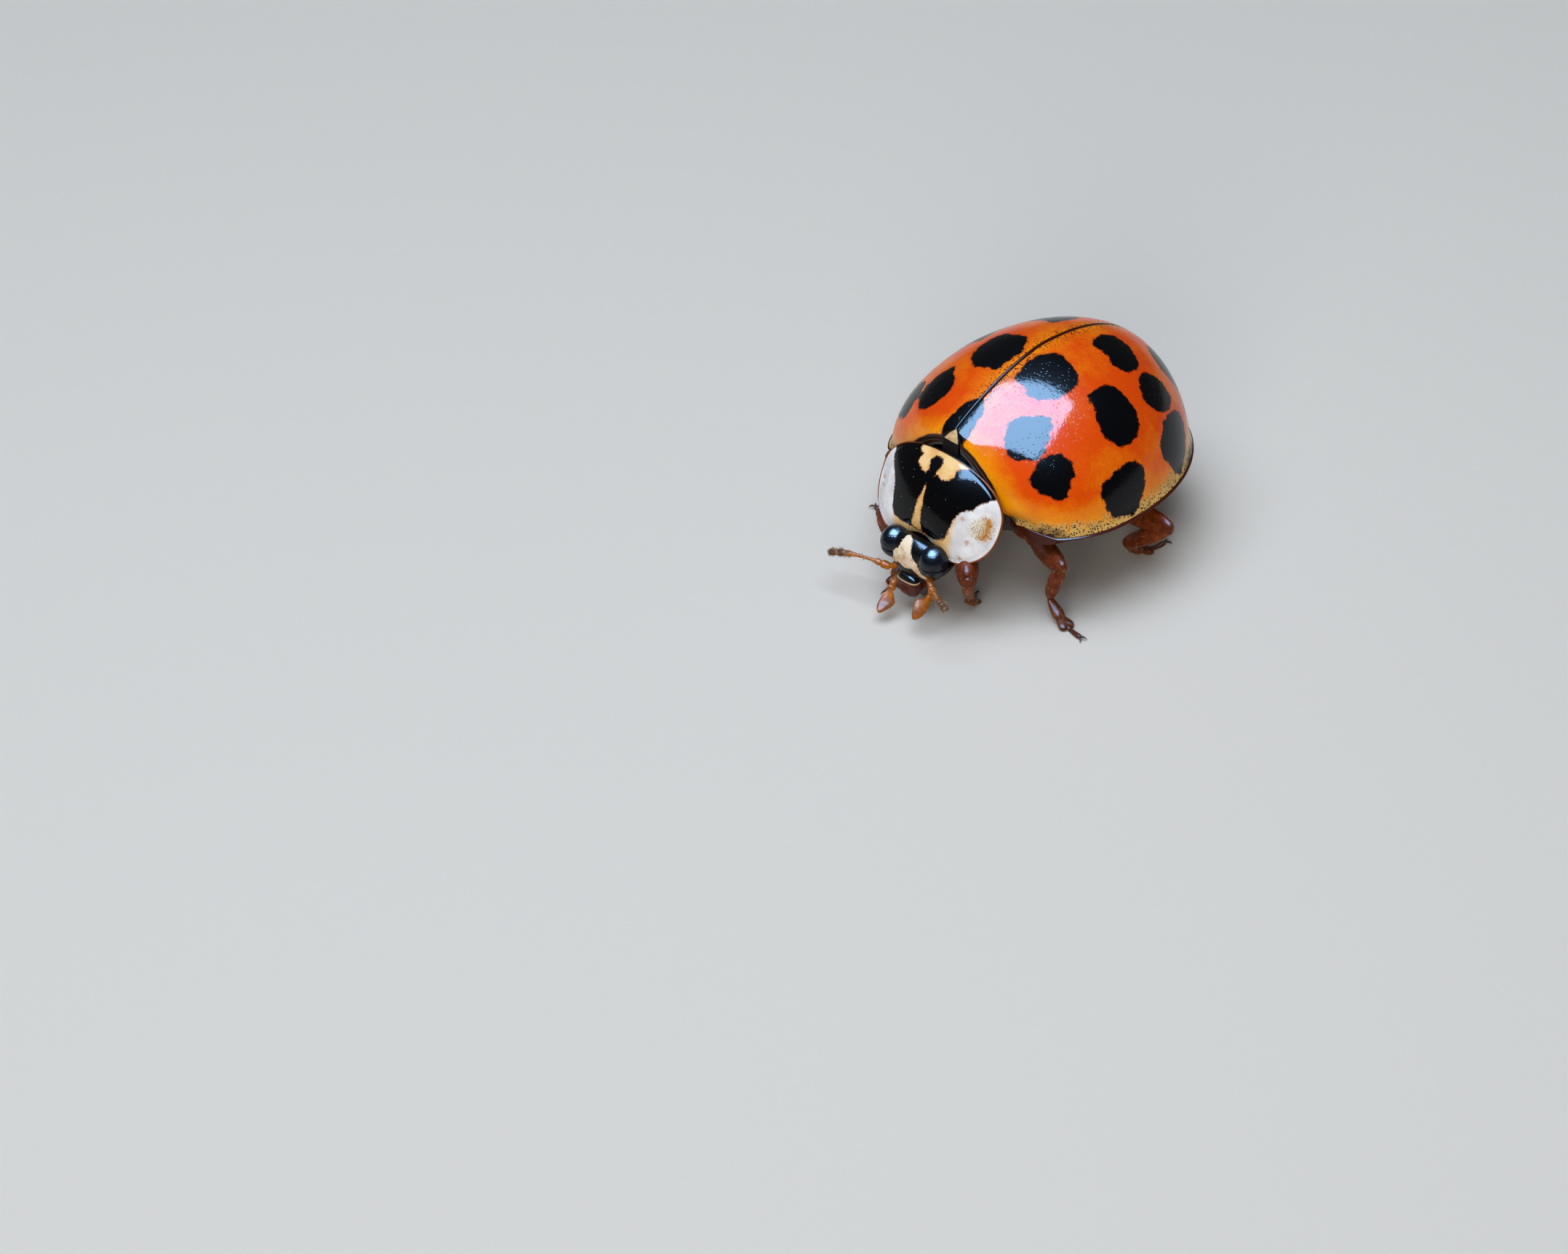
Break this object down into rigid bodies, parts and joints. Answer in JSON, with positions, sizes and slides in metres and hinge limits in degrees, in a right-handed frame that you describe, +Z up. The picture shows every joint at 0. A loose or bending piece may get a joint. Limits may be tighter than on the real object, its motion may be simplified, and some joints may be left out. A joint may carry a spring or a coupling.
{
  "type": "ladybird beetle model",
  "caption": "Harlequin ladybird beetle at life size, standing with its head bent down: a domed spotted body with legs, feelers and eyes.",
  "frame": {"origin": "centre of the whole model's box in plan, on the floor under its feet", "axes": "+Z up; the head points to -Y; the beetle's own left side is +X"},
  "size_m": [0.0059, 0.0072, 0.0043],
  "materials": {
    "wing_case": "glossy orange chitin with fine pits and black spots",
    "scutellum": "cream chitin, satin",
    "pronotum": "pearly white and black chitin, glossy",
    "head": "glossy black chitin with a cream mark",
    "eye": "blue-black faceted compound eye",
    "lip": "red-brown translucent chitin",
    "jaw": "dark brown chitin",
    "feeler": "amber chitin with fine hairs",
    "leg": "red-brown chitin with fine bristles",
    "foot": "red-brown chitin with hairy soles",
    "underside": "dark brown and amber chitin, finely hairy"
  },
  "bodies": {
    "root": {"abdomen": "underside", "antenna_left": "feeler", "antenna_right": "feeler", "elytron_left": "wing_case", "elytron_right": "wing_case", "eye_left": "eye", "eye_right": "eye", "femur_front_left": "leg", "femur_front_right": "leg", "femur_hind_left": "leg", "femur_hind_right": "leg", "femur_middle_left": "leg", "femur_middle_right": "leg", "head": "head", "labrum": "lip", "mandible_left": "jaw", "mandible_right": "jaw", "palp_left": "feeler", "palp_right": "feeler", "pronotum": "pronotum", "prothorax": "underside", "pterothorax": "underside", "scutellum": "scutellum", "tarsus_front_left": "foot", "tarsus_front_right": "foot", "tarsus_hind_left": "foot", "tarsus_hind_right": "foot", "tarsus_middle_left": "foot", "tarsus_middle_right": "foot", "tibia_front_left": "leg", "tibia_front_right": "leg", "tibia_hind_left": "leg", "tibia_hind_right": "leg", "tibia_middle_left": "leg", "tibia_middle_right": "leg"}
  },
  "joints": []
}
